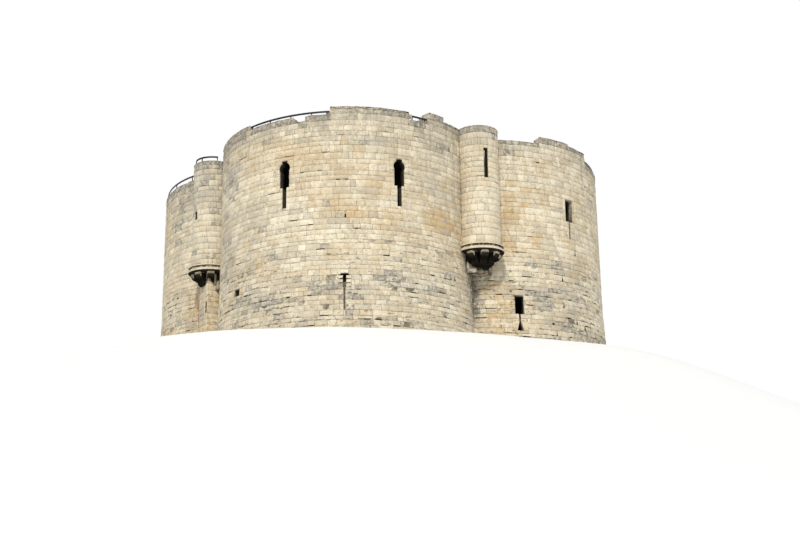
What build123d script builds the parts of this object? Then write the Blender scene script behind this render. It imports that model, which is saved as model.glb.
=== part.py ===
"""A roofless castle keep: four overlapping round lobes with small round turrets in the angles between them.

Millimetres, Z up, the foot of the walls at Z 0. The front lobe faces -Y and the right lobe faces +X.
"""

import os
from math import cos, pi, radians, sin, sqrt

from build123d import *

os.makedirs("parts", exist_ok=True)

# Plan of the walls
lobe_offset = 5600.0  # middle of the keep to the centre of each lobe
lobe_radius = 6400.0  # outer face of a lobe above its batter
wall_thick = 3000.0
bay_radius = lobe_radius - wall_thick  # round ended bays inside, one in each lobe
batter_spread = 150.0  # the foot of the wall stands out by this much
batter_height = 3000.0

# Heights
storey_height = 4500.0  # lower walls end here
walk_height = 8950.0  # top of the paving that people walk on
paving_thick = 100.0
parapet_thick = 600.0
low_parapet = 1100.0  # heights of the parapet's lengths above the walk
worn_parapet = 1340.0
shoulder_parapet = 1570.0
tall_parapet = 1700.0
merlon_height = 1930.0
floor_thick = 150.0

# Loops: a shaped mouth outside and a splayed recess inside, whose arched head rises inward
loop_throat = 600.0  # how deep the mouth goes
recess_width = 1100.0
recess_margin = 40.0  # the recess starts wider than the mouth by this much on each side
recess_rise = 0.6  # rise of the arched head for each unit of half its width
sill_start = 150.0  # the sill lies this far under the loop's foot at the mouth
sill_drop = 500.0  # and this far under it inside

# Keyhole loops high in the front and back lobes
keyhole_head = walk_height - 1120.0  # middle of the round head
keyhole_neck = walk_height - 2050.0
keyhole_foot = walk_height - 3030.0
keyhole_wide = 500.0
keyhole_round = 290.0  # radius of the round head
keyhole_slit = 220.0
notch_wide = 300.0  # the squared notch over the round head
notch_rise = 370.0
keyhole_spring = walk_height - 650.0  # where the recess head springs inside

# Plain loops high in the right and left lobes
plain_head = walk_height - 1110.0
plain_neck = walk_height - 2270.0
plain_foot = walk_height - 3150.0
plain_wide = 540.0
plain_slit = 110.0

# Low loops: one with a bar over a half blocked stem, short ones, and ones with a splayed tail
bar_head = 2660.0
bar_neck = 2020.0
bar_foot = 970.0
bar_wide = 360.0
bar_deep = 70.0
bar_stem = 150.0
bar_slit = 75.0
short_head = 2580.0
short_neck = 2260.0
short_foot = 1950.0
short_wide = 470.0
short_slit = 70.0
tail_head = 2550.0
tail_neck = 1670.0
tail_start = 1320.0
tail_foot = 860.0
tail_wide = 450.0
tail_slit = 80.0
tail_spread = 320.0

# Doorway in the hidden back lobe
door_width = 1300.0
door_spring = 1750.0  # where the round arch starts
arch_band = 260.0  # dressed stones round the doorway
arch_depth = 420.0
door_splay = 500.0  # the passage is wider inside by this much
door_straight = 1200.0  # how deep the passage keeps its width

# Turrets in the four outer angles
turret_radius = 1020.0
turret_stand = 722.0  # turret centre beyond the angle between two lobes
chamber_radius = 640.0
ring_foot = storey_height - 90.0
ring_height = 380.0
ring_reach = 110.0
corbel_drop = 910.0
corbel_width = 360.0
chamber_drop = 650.0  # the chamber floor lies this far under its loop
turret_loop_wide = 220.0
pier_width = 1140.0
pier_stand = 385.0  # pier face beyond the turret centre
outlet_wide = 200.0  # drain outlet in the pier
outlet_high = 560.0
outlet_middle = 2680.0
outlet_deep = 500.0
outlet_edge = 90.0  # stone left between the outlet and the pier's corner

# Handrails, flat bars on square posts near the outer face of the parapet
rail_inset = 120.0
rail_deep = 80.0
rail_thick = 40.0
post_thick = 40.0
rail_height = 1510.0  # top of the rail above the walk
gap_rail_height = 1560.0
left_rail_height = 1400.0
turret_rail_rise = 250.0  # above the turret's top

# The angle between two lobes lies on the diagonal, this far from the middle
angle_side = (lobe_offset + sqrt(2 * lobe_radius**2 - lobe_offset**2)) / 2
turret_reach = angle_side * sqrt(2) + turret_stand
far = 2 * (lobe_offset + lobe_radius)
wall_top = walk_height - paving_thick

lobes = {"front": -90.0, "right": 0.0, "back": 90.0, "left": 180.0}
turrets = {"front_right": -45.0, "back_right": 45.0, "back_left": 135.0, "front_left": -135.0}

# Loops of each lobe, as degrees from the lobe's own axis, seen from outside with right as plus
upper_loops = {
    "front": [(-11.8, "keyhole"), (37.2, "keyhole")],
    "back": [(-11.8, "keyhole"), (37.2, "keyhole")],
    "right": [(-34.5, "plain")],
    "left": [(-34.5, "plain")],
}
lower_loops = {
    "front": [(14.1, "bar"), (-38.5, "short")],
    "back": [(-38.5, "short")],
    "right": [(-63.4, "tail")],
    "left": [(-63.4, "tail")],
}

# A lobe's wall is built in three lengths in each storey, parted through a loop where one stands there
plain_parting = 25.0
door_parting = 25.0
low_parting = 12.0
upper_parting = {
    "front": (upper_loops["front"][0][0], upper_loops["front"][1][0]),
    "back": (upper_loops["back"][0][0], upper_loops["back"][1][0]),
    "right": (upper_loops["right"][0][0], plain_parting),
    "left": (upper_loops["left"][0][0], plain_parting),
}
lower_parting = {
    "front": (lower_loops["front"][1][0], lower_loops["front"][0][0]),
    "back": (-door_parting, door_parting),
    "right": (lower_loops["right"][0][0], low_parting),
    "left": (lower_loops["left"][0][0], low_parting),
}

# The upright strips that make up each kind of mouth: width, lower end, upper end
loop_strips = {
    "keyhole": [
        (keyhole_wide, keyhole_neck, keyhole_head),
        (notch_wide, keyhole_head, keyhole_head + notch_rise),
        (keyhole_slit, keyhole_foot, keyhole_neck),
    ],
    "plain": [(plain_wide, plain_neck, plain_head), (plain_slit, plain_foot, plain_neck)],
    "bar": [
        (bar_wide, bar_head - bar_deep, bar_head),
        (bar_stem, bar_neck, bar_head - bar_deep),
        (bar_slit, bar_foot, bar_neck),
    ],
    "short": [(short_wide, short_neck, short_head), (short_slit, short_foot, short_neck)],
    "tail": [(tail_wide, tail_neck, tail_head), (tail_slit, tail_start, tail_neck)],
}

# The recess behind each kind: half width at the mouth, foot, spring at the mouth, spring inside
loop_recess = {
    "keyhole": (keyhole_round, keyhole_foot, keyhole_head + 200, keyhole_spring),
    "plain": (plain_wide / 2, plain_foot, plain_head, keyhole_spring),
    "bar": (tail_wide / 2, bar_foot, bar_head, bar_head + 60),
    "short": (short_wide / 2, short_foot, short_head, short_head + 60),
    "tail": (tail_wide / 2, tail_foot, tail_head, tail_head + 60),
}

# Standing lengths of parapet on each lobe: first degree, last degree, height above the walk
long_lengths = [
    (-90, -67, worn_parapet),
    (-67, -33, shoulder_parapet),
    (-33, -7.8, worn_parapet),
    (-1.6, 8, worn_parapet),
    (8, 42.2, tall_parapet),
    (42.2, 52.2, worn_parapet),
    (52.2, 61.2, merlon_height),
    (61.2, 84, tall_parapet),
]
right_lengths = [
    (-84, -50.2, shoulder_parapet),
    (-50.2, -33.2, merlon_height),
    (-33.2, -18.6, 0.95 * merlon_height),
    (-18.6, 84, worn_parapet),
]
parapet_lengths = {"front": long_lengths, "back": long_lengths, "right": right_lengths, "left": []}

# Handrails: lobe, first and last degree, top and foot above the walk, degrees of the posts
rails = {
    "front_rail": [
        ("front", -33, 7.6, rail_height, worn_parapet, (-31, -20, -9.5, 0, 6.5)),
        ("front", 42.6, 51.8, gap_rail_height, worn_parapet, (44, 50.5)),
    ],
    "right_rail": [("right", -18.2, 60, rail_height, worn_parapet, (-17, -4, 9, 21, 34, 47, 59))],
    "left_rail": [("left", -60, 62, left_rail_height, low_parapet, (-59, -44, -29, -14, 1, 16, 31, 46, 61))],
}


def lobe_plane(angle, height):
    """A level plane at the centre of a lobe, with its X running outward along the lobe's axis."""
    along = (cos(radians(angle)), sin(radians(angle)), 0)
    centre = (lobe_offset * along[0], lobe_offset * along[1], height)
    return Plane(origin=centre, x_dir=along, z_dir=(0, 0, 1))


def facing_plane(centre, angle, distance):
    """An upright plane that faces away from centre, with X to the right as seen from outside and Y up."""
    out = (cos(radians(angle)), sin(radians(angle)), 0)
    origin = (centre.X + distance * out[0], centre.Y + distance * out[1], 0)
    return Plane(origin=origin, x_dir=(-out[1], out[0], 0), z_dir=out)


def radial_plane(centre, angle):
    """An upright plane through centre, with X running outward and Y up."""
    out = (cos(radians(angle)), sin(radians(angle)), 0)
    return Plane(origin=(centre.X, centre.Y, 0), x_dir=out, z_dir=(out[1], -out[0], 0))


def lobe_mass(angle):
    """The full round of a lobe with its battered foot."""
    centre = lobe_plane(angle, 0).origin
    with BuildPart() as mass:
        with BuildSketch(radial_plane(centre, angle)):
            with BuildLine():
                Polyline(
                    (0, 0),
                    (lobe_radius + batter_spread, 0),
                    (lobe_radius, batter_height),
                    (lobe_radius, 2 * walk_height),
                    (0, 2 * walk_height),
                    close=True,
                )
            make_face()
        revolve(axis=Axis((centre.X, centre.Y, 0), (0, 0, 1)))
    return mass.part


def hollow(height):
    """The cross shaped hollow of the keep: two crossing halls with round ends."""
    with BuildPart() as space:
        with BuildSketch(Plane.XY.offset(-1)):
            for angle in (0, 90):
                SlotCenterToCenter(2 * lobe_offset, 2 * bay_radius, rotation=angle)
        extrude(amount=height + 2)
    return space.part


def arched_outline(half, foot, spring, rise, facets):
    """Corners of an upright opening with a faceted arch for its head."""
    turns = [pi * step / facets for step in range(facets + 1)]
    head = [(half * cos(turn), spring + rise * half * sin(turn)) for turn in turns]
    return [(half, foot)] + head + [(-half, foot)]


def loop_cutter(lobe_angle, loop_angle, kind):
    """A loop through the wall: a shaped mouth, and a splayed recess with an arched head inside."""
    centre = lobe_plane(lobe_angle, 0).origin
    angle = lobe_angle + loop_angle
    throat = lobe_radius - loop_throat
    half, foot, spring_out, spring_in = loop_recess[kind]
    start = arched_outline(half + recess_margin, foot - sill_start, spring_out, recess_rise, 6)
    end = arched_outline(recess_width / 2, foot - sill_drop, spring_in, recess_rise, 6)
    with BuildPart() as cutter:
        with BuildSketch(facing_plane(centre, angle, throat - 5)):
            for width, low, high in loop_strips[kind]:
                with Locations((0, (low + high) / 2)):
                    Rectangle(width, high - low + 2)
            if kind == "keyhole":
                with Locations((0, keyhole_head)):
                    Circle(keyhole_round)
            if kind == "tail":
                Polygon(
                    (-tail_slit / 2, tail_start + 1),
                    (tail_slit / 2, tail_start + 1),
                    (tail_spread / 2, tail_foot),
                    (-tail_spread / 2, tail_foot),
                    align=None,
                )
        extrude(amount=loop_throat + batter_spread + 200)
        with BuildSketch(facing_plane(centre, angle, throat)):
            Polygon(*start, align=None)
        with BuildSketch(facing_plane(centre, angle, 0.9 * bay_radius)):
            Polygon(*end, align=None)
        loft(ruled=True)
    return cutter.part


def door_cutter(grow, inner):
    """The round arched doorway, or the band of dressed stones round it."""
    centre = lobe_plane(lobes["back"], 0).origin
    half = door_width / 2 + grow
    with BuildPart() as cutter:
        with BuildSketch(facing_plane(centre, lobes["back"], inner)):
            with Locations((0, door_spring / 2 - 5)):
                Rectangle(2 * half, door_spring + 10)
            with Locations((0, door_spring)):
                Circle(half)
        extrude(amount=lobe_radius + 400 - inner)
    return cutter.part


def door_recess():
    """The splayed inner part of the door passage, with a faceted arch."""
    centre = lobe_plane(lobes["back"], 0).origin
    start = arched_outline(door_width / 2, -10, door_spring, 1, 12)
    end = arched_outline((door_width + door_splay) / 2, -10, door_spring, 1, 12)
    with BuildPart() as cutter:
        with BuildSketch(facing_plane(centre, lobes["back"], lobe_radius - door_straight)):
            Polygon(*start, align=None)
        with BuildSketch(facing_plane(centre, lobes["back"], 0.9 * bay_radius)):
            Polygon(*end, align=None)
        loft(ruled=True)
    return cutter.part


masses = {name: lobe_mass(angle) for name, angle in lobes.items()}
void = hollow(walk_height)


def length_plan(side, parting):
    """One length of a lobe's wall in plan: -1 left of both partings, 0 between them, 1 right of both."""
    ends_at = parting[0] if side < 0 else parting[1]
    starts_at = parting[1] if side > 0 else parting[0]
    low = 0 if side > 0 else -far
    high = 0 if side < 0 else far
    with BuildSketch() as plan:
        Polygon((-lobe_offset, 0), (far - lobe_offset, low), (far - lobe_offset, high), align=None)
        if side <= 0:
            below = (Align.CENTER, Align.MAX)
            Rectangle(4 * far, 4 * far, rotation=ends_at, align=below, mode=Mode.INTERSECT)
        if side >= 0:
            above = (Align.CENTER, Align.MIN)
            Rectangle(4 * far, 4 * far, rotation=starts_at, align=above, mode=Mode.INTERSECT)
    return plan.sketch


def save(builder, name):
    builder.part.label = name
    export_step(builder.part, f"parts/{name}.step")


# Doorway shapes, used by the lower middle of the back lobe
door_inner = lobe_radius - arch_depth
door_gap = door_cutter(0, bay_radius)
door_splayed = door_recess()
door_band = door_cutter(arch_band, door_inner)

# Round walls, in two storeys of three lengths a lobe
storeys = [
    ("lower", 0, storey_height, lower_loops, lower_parting),
    ("upper", storey_height, wall_top, upper_loops, upper_parting),
]
for lobe, angle in lobes.items():
    for storey, foot, top, loops, parting in storeys:
        cutters = [loop_cutter(angle, turn, kind) for turn, kind in loops[lobe]]
        for side, third in ((-1, "left"), (0, "centre"), (1, "right")):
            if (lobe, storey, third) == ("back", "lower", "centre"):
                continue
            with BuildPart() as wall:
                with BuildSketch(lobe_plane(angle, foot)):
                    add(length_plan(side, parting[lobe]))
                extrude(amount=top - foot)
                add(masses[lobe], mode=Mode.INTERSECT)
                add(void, mode=Mode.SUBTRACT)
                for cutter in cutters:
                    add(cutter, mode=Mode.SUBTRACT)
            save(wall, f"{lobe}_{storey}_{third}")

# The lower middle of the back lobe, parted beside and over its doorway
for name, side in (("back_door_side_left", -1), ("back_door_side_right", 1)):
    with BuildPart() as jamb:
        with BuildSketch(lobe_plane(lobes["back"], 0)):
            edge_x = far * cos(radians(door_parting))
            edge_y = side * far * sin(radians(door_parting))
            Polygon((0, 0), (edge_x, 0), (edge_x, edge_y), align=None)
        extrude(amount=storey_height)
        add(masses["back"], mode=Mode.INTERSECT)
        add(void, mode=Mode.SUBTRACT)
        with BuildSketch(lobe_plane(lobes["back"], door_spring)):
            Polygon((0, 0), (far, -far), (far, far), align=None)
        extrude(amount=storey_height, mode=Mode.SUBTRACT)
        add(door_gap, mode=Mode.SUBTRACT)
        add(door_splayed, mode=Mode.SUBTRACT)
        add(door_band, mode=Mode.SUBTRACT)
    save(jamb, name)

with BuildPart() as over_door:
    with BuildSketch(lobe_plane(lobes["back"], door_spring)):
        add(length_plan(0, lower_parting["back"]))
    extrude(amount=storey_height - door_spring)
    add(masses["back"], mode=Mode.INTERSECT)
    add(void, mode=Mode.SUBTRACT)
    add(door_gap, mode=Mode.SUBTRACT)
    add(door_splayed, mode=Mode.SUBTRACT)
    add(door_band, mode=Mode.SUBTRACT)
save(over_door, "back_over_door")

with BuildPart() as door_arch:
    add(door_band)
    add(masses["back"], mode=Mode.INTERSECT)
    add(door_gap, mode=Mode.SUBTRACT)
save(door_arch, "door_arch")

# Paving of the wall walk, over the whole thickness of the walls
with BuildPart() as wall_walk:
    with BuildSketch(Plane.XY.offset(wall_top)):
        for angle in lobes.values():
            with Locations((lobe_offset * cos(radians(angle)), lobe_offset * sin(radians(angle)))):
                Circle(lobe_radius)
        for angle in (0, 90):
            SlotCenterToCenter(2 * lobe_offset, 2 * bay_radius, rotation=angle, mode=Mode.SUBTRACT)
    extrude(amount=paving_thick)
save(wall_walk, "wall_walk")

# Parapets: a worn low wall with the lengths that still stand higher
for lobe, angle in lobes.items():
    steps = [(-90, 90, low_parapet)] + parapet_lengths[lobe]
    with BuildPart() as parapet:
        for first, last, height in steps:
            with BuildSketch(lobe_plane(angle, walk_height)):
                Circle(lobe_radius)
                Circle(lobe_radius - parapet_thick, mode=Mode.SUBTRACT)
                middle = (first + last) / 2
                half = (last - first) / 2
                if half < 89:
                    reach = 2 * far
                    Polygon(
                        (0, 0),
                        (reach * cos(radians(first)), reach * sin(radians(first))),
                        (2 * reach * cos(radians(middle)), 2 * reach * sin(radians(middle))),
                        (reach * cos(radians(last)), reach * sin(radians(last))),
                        align=None,
                        mode=Mode.INTERSECT,
                    )
                Polygon(
                    (-lobe_offset, 0),
                    (far - lobe_offset, -far),
                    (far - lobe_offset, far),
                    align=None,
                    mode=Mode.INTERSECT,
                )
            extrude(amount=height)
        # The walk runs on into the turret at each end
        for corner in (angle - 45, angle + 45):
            with BuildSketch(Plane.XY.offset(walk_height).rotated((0, 0, corner))):
                with Locations((turret_reach / 2, 0)):
                    Rectangle(turret_reach, 2 * chamber_radius)
                with Locations((turret_reach, 0)):
                    Circle(chamber_radius)
            extrude(amount=walk_height, mode=Mode.SUBTRACT)
    save(parapet, f"{lobe}_parapet")

# Turrets, each on a moulded ring and three corbels
pier_face = turret_reach + pier_stand
turret_top = walk_height + tall_parapet
left_turret_top = walk_height + 1250.0
turret_tops = {name: left_turret_top if name == "front_left" else turret_top for name in turrets}

# Each turret's loop: its direction in plan, its foot and its height
tall_loop_foot = walk_height - 960.0
tall_loop_height = 1500.0
turret_loops = {
    "front_right": (-57, tall_loop_foot, tall_loop_height),
    "back_right": (57, tall_loop_foot, tall_loop_height),
    "back_left": (123, tall_loop_foot, tall_loop_height),
    "front_left": (-124, walk_height - 1800.0, 440.0),
}
nose = turret_radius - 60
corbel_steps = [(1, 0, 0.34), (0.66, 0.34, 0.66), (0.34, 0.66, 1)]
for corner, diagonal in turrets.items():
    centre = Vector(turret_reach * cos(radians(diagonal)), turret_reach * sin(radians(diagonal)), 0)
    beside_it = [name for name, a in lobes.items() if abs((a - diagonal + 180) % 360 - 180) < 46]
    loop_angle, loop_foot, loop_height = turret_loops[corner]
    with BuildPart() as turret:
        with BuildSketch(Plane.XY.offset(ring_foot + ring_height)):
            with Locations((centre.X, centre.Y)):
                Circle(turret_radius)
        extrude(amount=turret_tops[corner] - ring_foot - ring_height)
        with BuildSketch(Plane.XY.offset(loop_foot - chamber_drop)):
            with Locations((centre.X, centre.Y)):
                Circle(chamber_radius)
        extrude(amount=walk_height, mode=Mode.SUBTRACT)
        with BuildSketch(facing_plane(centre, loop_angle, 0)):
            with Locations((0, loop_foot + loop_height / 2)):
                Rectangle(turret_loop_wide, loop_height)
        extrude(amount=2 * turret_radius, mode=Mode.SUBTRACT)
        for name in beside_it:
            add(masses[name], mode=Mode.SUBTRACT)
    save(turret, f"{corner}_turret")

    with BuildPart() as corbels:
        # The moulded ring, a roll under a recess and a fillet
        with BuildSketch(radial_plane(centre, diagonal)):
            with BuildLine():
                Polyline(
                    (0, ring_foot),
                    (turret_radius + 0.4 * ring_reach, ring_foot),
                    (turret_radius + ring_reach, ring_foot + 0.14 * ring_height),
                    (turret_radius + ring_reach, ring_foot + 0.36 * ring_height),
                    (turret_radius + 0.4 * ring_reach, ring_foot + 0.5 * ring_height),
                    (turret_radius + 0.4 * ring_reach, ring_foot + 0.7 * ring_height),
                    (turret_radius + 0.75 * ring_reach, ring_foot + 0.76 * ring_height),
                    (turret_radius + 0.75 * ring_reach, ring_foot + 0.92 * ring_height),
                    (turret_radius, ring_foot + ring_height),
                    (0, ring_foot + ring_height),
                    close=True,
                )
            make_face()
        revolve(axis=Axis((centre.X, centre.Y, 0), (0, 0, 1)))
        # Four corbels, each of three stepped courses with rounded noses
        outline = []
        for reach, over, under in corbel_steps:
            deep = under - over
            outline.append((reach * nose, ring_foot - corbel_drop * over))
            outline.append((reach * nose, ring_foot - corbel_drop * (over + 0.4 * deep)))
            outline.append(((reach - 0.06) * nose, ring_foot - corbel_drop * (over + 0.75 * deep)))
            outline.append(((reach - 0.2) * nose, ring_foot - corbel_drop * under))
        outline.append((-turret_stand, ring_foot - corbel_drop))
        outline.append((-turret_stand, ring_foot))
        for turn in (-67.5, -22.5, 22.5, 67.5):
            with BuildSketch(radial_plane(centre, diagonal + turn)):
                Polygon(*outline, align=None)
            extrude(amount=corbel_width / 2, both=True)
        for name in beside_it:
            add(masses[name], mode=Mode.SUBTRACT)
        if corner == "front_left":
            with BuildSketch(Plane.XY.rotated((0, 0, diagonal))):
                with Locations((pier_face / 2, 0)):
                    Rectangle(pier_face, pier_width)
            extrude(amount=ring_foot, mode=Mode.SUBTRACT)
    save(corbels, f"{corner}_corbels")

# Square pier that carries the drain down the front left angle
with BuildPart() as pier:
    with BuildSketch(Plane.XY.rotated((0, 0, turrets["front_left"]))):
        with Locations((pier_face / 2, 0)):
            Rectangle(pier_face, pier_width)
    extrude(amount=ring_foot)
    add(masses["front"], mode=Mode.SUBTRACT)
    add(masses["left"], mode=Mode.SUBTRACT)
    with BuildSketch(facing_plane(Vector(0, 0, 0), turrets["front_left"], pier_face - outlet_deep)):
        with Locations((pier_width / 2 - outlet_edge - outlet_wide / 2, outlet_middle)):
            Rectangle(outlet_wide, outlet_high)
    extrude(amount=2 * outlet_deep, mode=Mode.SUBTRACT)
save(pier, "garderobe_pier")


def bent_rail(centre, line, first, last, top, foot, posts):
    """A flat bar bent to a round about centre, on square posts at the given degrees."""
    reach = 2 * line
    middle = (first + last) / 2
    with BuildPart() as rail:
        with BuildSketch(Plane((centre.X, centre.Y, top - rail_deep))):
            Circle(line + rail_thick / 2)
            Circle(line - rail_thick / 2, mode=Mode.SUBTRACT)
            Polygon(
                (0, 0),
                (reach * cos(radians(first)), reach * sin(radians(first))),
                (3 * reach * cos(radians(middle)), 3 * reach * sin(radians(middle))),
                (reach * cos(radians(last)), reach * sin(radians(last))),
                align=None,
                mode=Mode.INTERSECT,
            )
        extrude(amount=rail_deep)
        for post in posts:
            with BuildSketch(Plane((centre.X, centre.Y, foot)).rotated((0, 0, post))):
                with Locations((line, 0)):
                    Rectangle(post_thick, post_thick)
            extrude(amount=top - rail_deep / 2 - foot)
    return rail.part


# Handrails on the worn lengths of parapet, and round the top of the front left turret
for name, pieces in rails.items():
    with BuildPart() as rail:
        for lobe, first, last, top, foot, posts in pieces:
            angle = lobes[lobe]
            centre = lobe_plane(angle, 0).origin
            line = lobe_radius - rail_inset
            turned = [angle + post for post in posts]
            piece = bent_rail(
                centre, line, angle + first, angle + last, walk_height + top, walk_height + foot, turned
            )
            add(piece)
        if name == "left_rail":
            diagonal = turrets["front_left"]
            centre = Vector(turret_reach * cos(radians(diagonal)), turret_reach * sin(radians(diagonal)), 0)
            line = turret_radius - rail_inset
            turned = [diagonal + post for post in (-78, -26, 26, 78)]
            top = left_turret_top + turret_rail_rise
            add(bent_rail(centre, line, diagonal - 80, diagonal + 80, top, left_turret_top, turned))
    save(rail, name)

# Paved floor inside
with BuildPart() as floor:
    with BuildSketch(Plane.XY):
        for angle in (0, 90):
            SlotCenterToCenter(2 * lobe_offset, 2 * bay_radius, rotation=angle)
    extrude(amount=floor_thick)
save(floor, "ground_floor")
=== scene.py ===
"""Looks of the castle keep: coursed limestone, weathered copings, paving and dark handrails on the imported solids."""
import math

import bmesh
import bpy
import numpy as np
from mathutils import Matrix


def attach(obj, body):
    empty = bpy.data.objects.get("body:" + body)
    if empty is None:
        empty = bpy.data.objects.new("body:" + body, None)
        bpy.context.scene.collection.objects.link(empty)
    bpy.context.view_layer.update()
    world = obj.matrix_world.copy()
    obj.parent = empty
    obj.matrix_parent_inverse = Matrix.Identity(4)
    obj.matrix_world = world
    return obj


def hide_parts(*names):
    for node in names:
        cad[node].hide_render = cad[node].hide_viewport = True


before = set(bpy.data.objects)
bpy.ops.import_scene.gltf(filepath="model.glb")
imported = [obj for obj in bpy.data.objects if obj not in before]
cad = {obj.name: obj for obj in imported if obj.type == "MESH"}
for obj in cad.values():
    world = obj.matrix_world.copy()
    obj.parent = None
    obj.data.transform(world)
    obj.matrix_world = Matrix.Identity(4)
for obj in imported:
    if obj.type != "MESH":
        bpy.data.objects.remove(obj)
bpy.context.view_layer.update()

# Sizes of the keep, in metres
LOBE_OFFSET = 5.6
LOBE_RADIUS = 6.4
BAY_RADIUS = 3.4
BATTER_SPREAD = 0.15
BATTER_HEIGHT = 3.0
STOREY = 4.5
WALK = 8.95
PARAPET_THICK = 0.6
PARAPET_INSIDE = LOBE_RADIUS - PARAPET_THICK
PARAPET_END = 73  # degrees at which the top of a parapet ends on both sides
LOW_PARAPET = 1.1
TURRET_RADIUS = 1.02
TURRET_FOOT = 4.79
RING_FOOT = 4.41
PIER_WIDTH = 1.14
PIER_FACE_BEYOND = 0.385
ANGLE_SIDE = (LOBE_OFFSET + math.sqrt(2 * LOBE_RADIUS**2 - LOBE_OFFSET**2)) / 2
TURRET_REACH = ANGLE_SIDE * math.sqrt(2) + 0.722
CORNER_DEGREES = math.degrees(math.atan2(ANGLE_SIDE, ANGLE_SIDE - LOBE_OFFSET))
DOOR_SPRING = 1.75
PIER_BACK = 8.9
PARAPET_LIMIT = 11.0  # no parapet is higher
INNER_TOP = 10.4  # where the weathering of the inner walls starts
OPEN_TOP = 12.0  # a top so high that it weathers nothing
ROUGH_BELOW = 4.3  # the courses below are more worn
TURRET_SPAN = 96  # degrees of a turret that carry stones on each side
LOWER_COURSE, UPPER_COURSE, PARAPET_COURSE, TURRET_COURSE, PIER_COURSE = 0.235, 0.28, 0.26, 0.29, 0.30
NOSE_WEAR = 0.055  # how far the corners of the corbels are worn round
STONE_DEPTH = 0.014  # stone faces lie this far inside the solid's face
CORE_DEPTH = 0.048  # the mortar lies this far inside it
DARK_DEPTH = CORE_DEPTH - 0.005  # the dark of open joints lies just before the mortar
ON_FACE = 0.012  # a point this near to a face is on it

LOBES = {"front": -90.0, "right": 0.0, "back": 90.0, "left": 180.0}
# Each turret's direction and top, and its loop's direction, foot and head
TURRETS = {
    "front_right": (-45.0, 10.65, -57, 7.99, 9.49),
    "back_right": (45.0, 10.65, 57, 7.99, 9.49),
    "back_left": (135.0, 10.65, 123, 7.99, 9.49),
    "front_left": (-135.0, 10.20, -124, 7.15, 7.59),
}
# The two angles at which the walls of each lobe are parted, mostly along the middle of a loop
UPPER_PARTING = {"front": (-11.8, 37.2), "back": (-11.8, 37.2), "right": (-34.5, 25), "left": (-34.5, 25)}
LOWER_PARTING = {"front": (-38.5, 14.1), "back": (-25, 25), "right": (-63.4, 12), "left": (-63.4, 12)}
LOOPS = {
    "front": [(-11.8, "keyhole"), (37.2, "keyhole"), (14.1, "bar"), (-38.5, "short")],
    "back": [(-11.8, "keyhole"), (37.2, "keyhole"), (-38.5, "short")],
    "right": [(-34.5, "plain"), (-63.4, "tail")],
    "left": [(-34.5, "plain"), (-63.4, "tail")],
}

# What each kind of loop leaves free of coursed stone: half width, foot, top
LOOP_GAPS = {
    "keyhole": [(0.11, 5.92, 6.90), (0.25, 6.90, 7.60), (0.48, 7.60, 8.22)],
    "plain": [(0.055, 5.80, 6.68), (0.44, 6.68, 7.84)],
    "bar": [(0.04, 0.97, 2.02), (0.30, 2.02, 2.59), (0.18, 2.59, 2.665)],
    "short": [(0.035, 1.95, 2.26), (0.45, 2.26, 2.585)],
    "tail": [(0.38, 0.86, 1.32), (0.04, 1.32, 1.67), (0.225, 1.67, 2.555)],
}

# The hewn stones on each side of a loop: their outer edge's distance from the loop's middle, the heights of their
# corners, and how far the inner edge stands from the middle at each
LOOP_JAMBS = {
    "keyhole": [
        (0.48, (7.60, 7.68, 7.76, 7.83), (0.25, 0.252, 0.28, 0.29)),
        (0.48, (7.83, 7.93, 8.00, 8.055, 8.085, 8.22), (0.29, 0.272, 0.235, 0.185, 0.15, 0.15)),
    ],
    "plain": [(0.44, (6.68, 7.20), (0.27, 0.27)), (0.44, (7.20, 7.84), (0.27, 0.27))],
    "bar": [(0.30, levels, (0.075, 0.075)) for levels in ((2.02, 2.22), (2.22, 2.41), (2.41, 2.59))],
    "short": [(0.45, (2.26, 2.585), (0.235, 0.235))],
    "tail": [(0.38, (0.86, 1.09, 1.32), (0.16, 0.10, 0.04))],
}

# What the doorway leaves free outside and inside: half width, foot, top
DOOR_GAPS = [(0.91, -0.1, DOOR_SPRING), (0.85, DOOR_SPRING, 2.1), (0.68, 2.1, 2.4), (0.4, 2.4, 2.66)]
DOOR_RECESS = [(0.9, -0.1, 1.9), (0.62, 1.9, 2.65)]

# The recess behind each kind of loop as the inner wall shows it: foot, spring and top of its arch
LOOP_RECESS = {
    "keyhole": (5.42, 8.30, 8.61),
    "plain": (5.30, 8.30, 8.61),
    "bar": (0.47, 2.72, 3.03),
    "short": (1.45, 2.64, 2.95),
    "tail": (0.36, 2.61, 2.92),
}

# Lengths of parapet that stand above its low height: first and last angle, and height over the walk
WORN, SHOULDER, TALL, MERLON = 1.34, 1.57, 1.70, 1.93
LONG_LENGTHS = [(-90, -67, WORN), (-67, -33, SHOULDER), (-33, -7.8, WORN), (-1.6, 8, WORN)]
LONG_LENGTHS += [(8, 42.2, TALL), (42.2, 52.2, WORN), (52.2, 61.2, MERLON), (61.2, 84, TALL)]
RIGHT_LENGTHS = [(-84, -50.2, SHOULDER), (-50.2, -33.2, MERLON), (-33.2, -18.6, 0.95 * MERLON), (-18.6, 84, WORN)]
STANDING = {"front": LONG_LENGTHS, "back": LONG_LENGTHS, "right": RIGHT_LENGTHS, "left": []}

rng = np.random.default_rng(41)


def polar(reach, degrees):
    """The point in plan at a distance and an angle."""
    return reach * math.cos(math.radians(degrees)), reach * math.sin(math.radians(degrees))


def axes_at(degrees):
    """The outward and the sideways direction in plan at an angle."""
    out = np.array(polar(1.0, degrees))
    return out, np.array([-out[1], out[0]])


def lobe_centre(lobe):
    return polar(LOBE_OFFSET, LOBES[lobe])


def middles(rects):
    """Length along the wall and height of each stone's middle."""
    return (rects[:, 0] + rects[:, 1]) / 2, (rects[:, 2] + rects[:, 3]) / 2


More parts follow.
